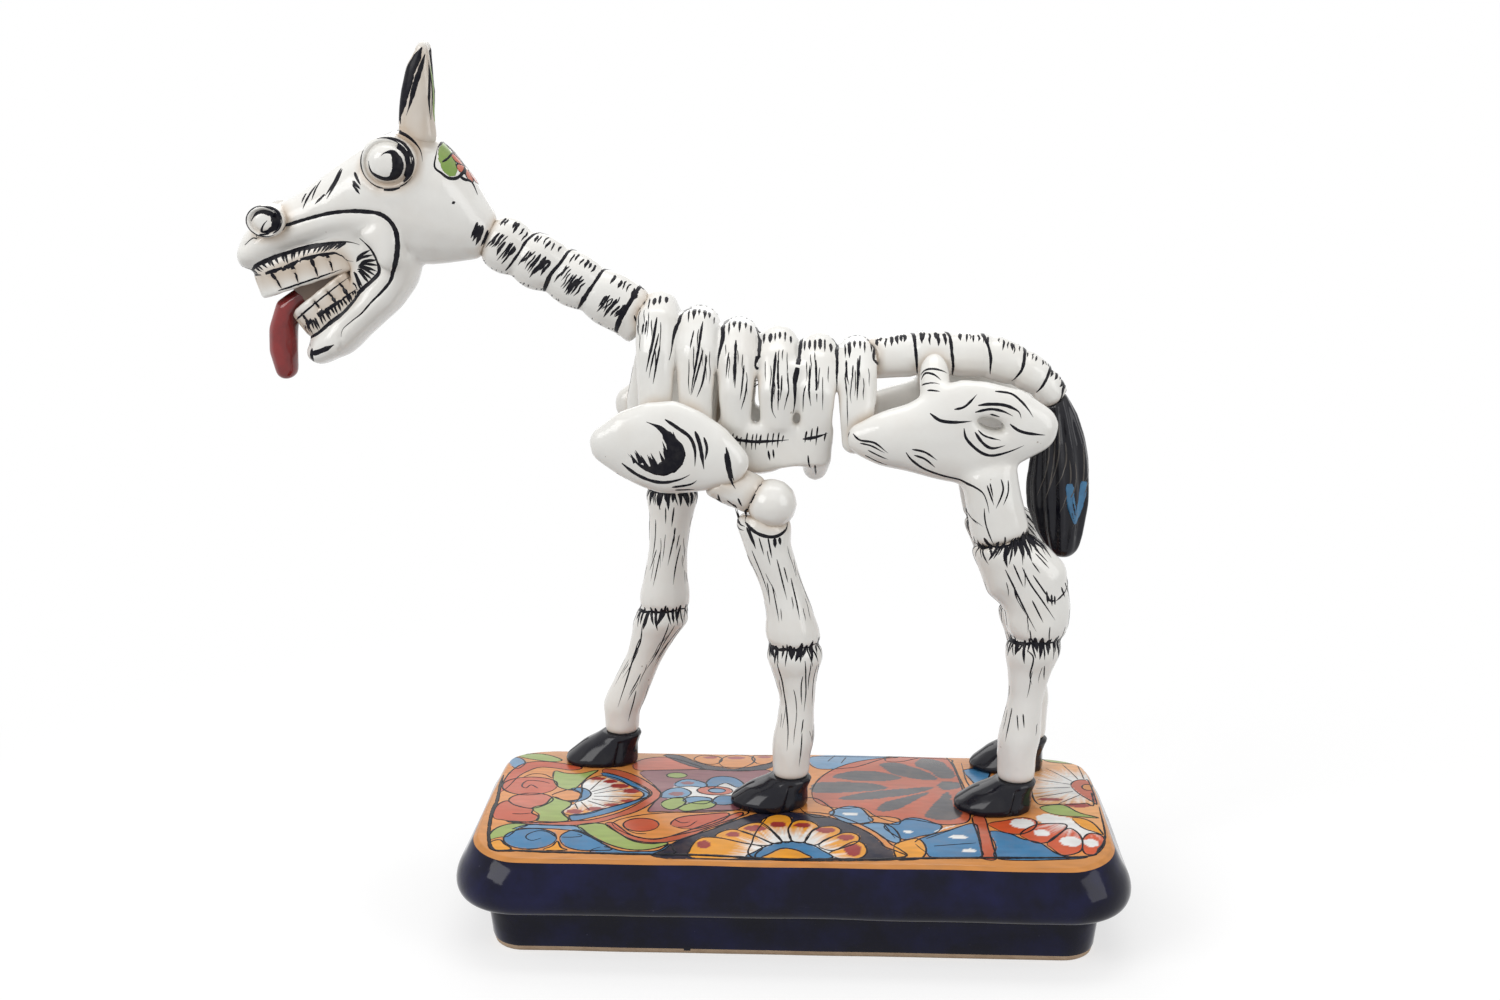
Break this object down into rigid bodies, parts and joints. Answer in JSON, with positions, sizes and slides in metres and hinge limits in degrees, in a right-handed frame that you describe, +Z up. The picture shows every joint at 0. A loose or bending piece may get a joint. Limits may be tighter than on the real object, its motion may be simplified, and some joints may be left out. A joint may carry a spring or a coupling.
{
  "type": "ceramic horse skeleton figurine",
  "caption": "Glazed clay horse skeleton standing on a low painted plinth, mouth open and tongue out; a shelf ornament built bone by bone.",
  "frame": {"origin": "middle of the whole figure's footprint rectangle, on the ground under the plinth's foot", "axes": "+X from the muzzle to the tail, the longest way; +Y from the horse's left side to its right, the shortest way; +Z up"},
  "size_m": [0.3858, 0.14, 0.3801],
  "materials": {
    "bone_glaze": "off-white gloss glaze on fired clay, with black brushwork",
    "black_glaze": "black gloss glaze on fired clay",
    "painted_glaze": "many-coloured flowers under a gloss glaze, navy skirt",
    "navy_glaze": "near-black navy gloss glaze, bare clay along the lowest rim",
    "tongue_glaze": "dark red gloss glaze on fired clay"
  },
  "bodies": {
    "root": {"breastbone_front": "bone_glaze", "breastbone_middle": "bone_glaze", "breastbone_rear": "bone_glaze", "cannon_front_left": "bone_glaze", "cannon_front_right": "bone_glaze", "cannon_hind_left": "bone_glaze", "cannon_hind_right": "bone_glaze", "ear_left": "bone_glaze", "ear_right": "bone_glaze", "elbow_ball_left": "bone_glaze", "elbow_ball_right": "bone_glaze", "eye_left": "bone_glaze", "eye_right": "bone_glaze", "forearm_left": "bone_glaze", "forearm_right": "bone_glaze", "gaskin_left": "bone_glaze", "gaskin_right": "bone_glaze", "hip_left": "bone_glaze", "hip_right": "bone_glaze", "hoof_front_left": "black_glaze", "hoof_front_right": "black_glaze", "hoof_hind_left": "black_glaze", "hoof_hind_right": "black_glaze", "jaw": "bone_glaze", "loin_1": "bone_glaze", "loin_2": "bone_glaze", "loin_3": "bone_glaze", "loin_4": "bone_glaze", "loin_5": "bone_glaze", "loin_6": "bone_glaze", "lower_teeth": "bone_glaze", "neck_1": "bone_glaze", "neck_2": "bone_glaze", "neck_3": "bone_glaze", "neck_4": "bone_glaze", "nostril_left": "bone_glaze", "nostril_right": "bone_glaze", "plinth_foot": "navy_glaze", "plinth_top": "painted_glaze", "rib_1": "bone_glaze", "rib_2": "bone_glaze", "rib_3": "bone_glaze", "rib_4": "bone_glaze", "rib_5": "bone_glaze", "rib_6": "bone_glaze", "scapula_left": "bone_glaze", "scapula_right": "bone_glaze", "skull": "bone_glaze", "tail": "black_glaze", "thigh_left": "bone_glaze", "thigh_right": "bone_glaze", "tongue": "tongue_glaze", "upper_arm_left": "bone_glaze", "upper_arm_right": "bone_glaze", "upper_teeth": "bone_glaze"}
  },
  "joints": []
}
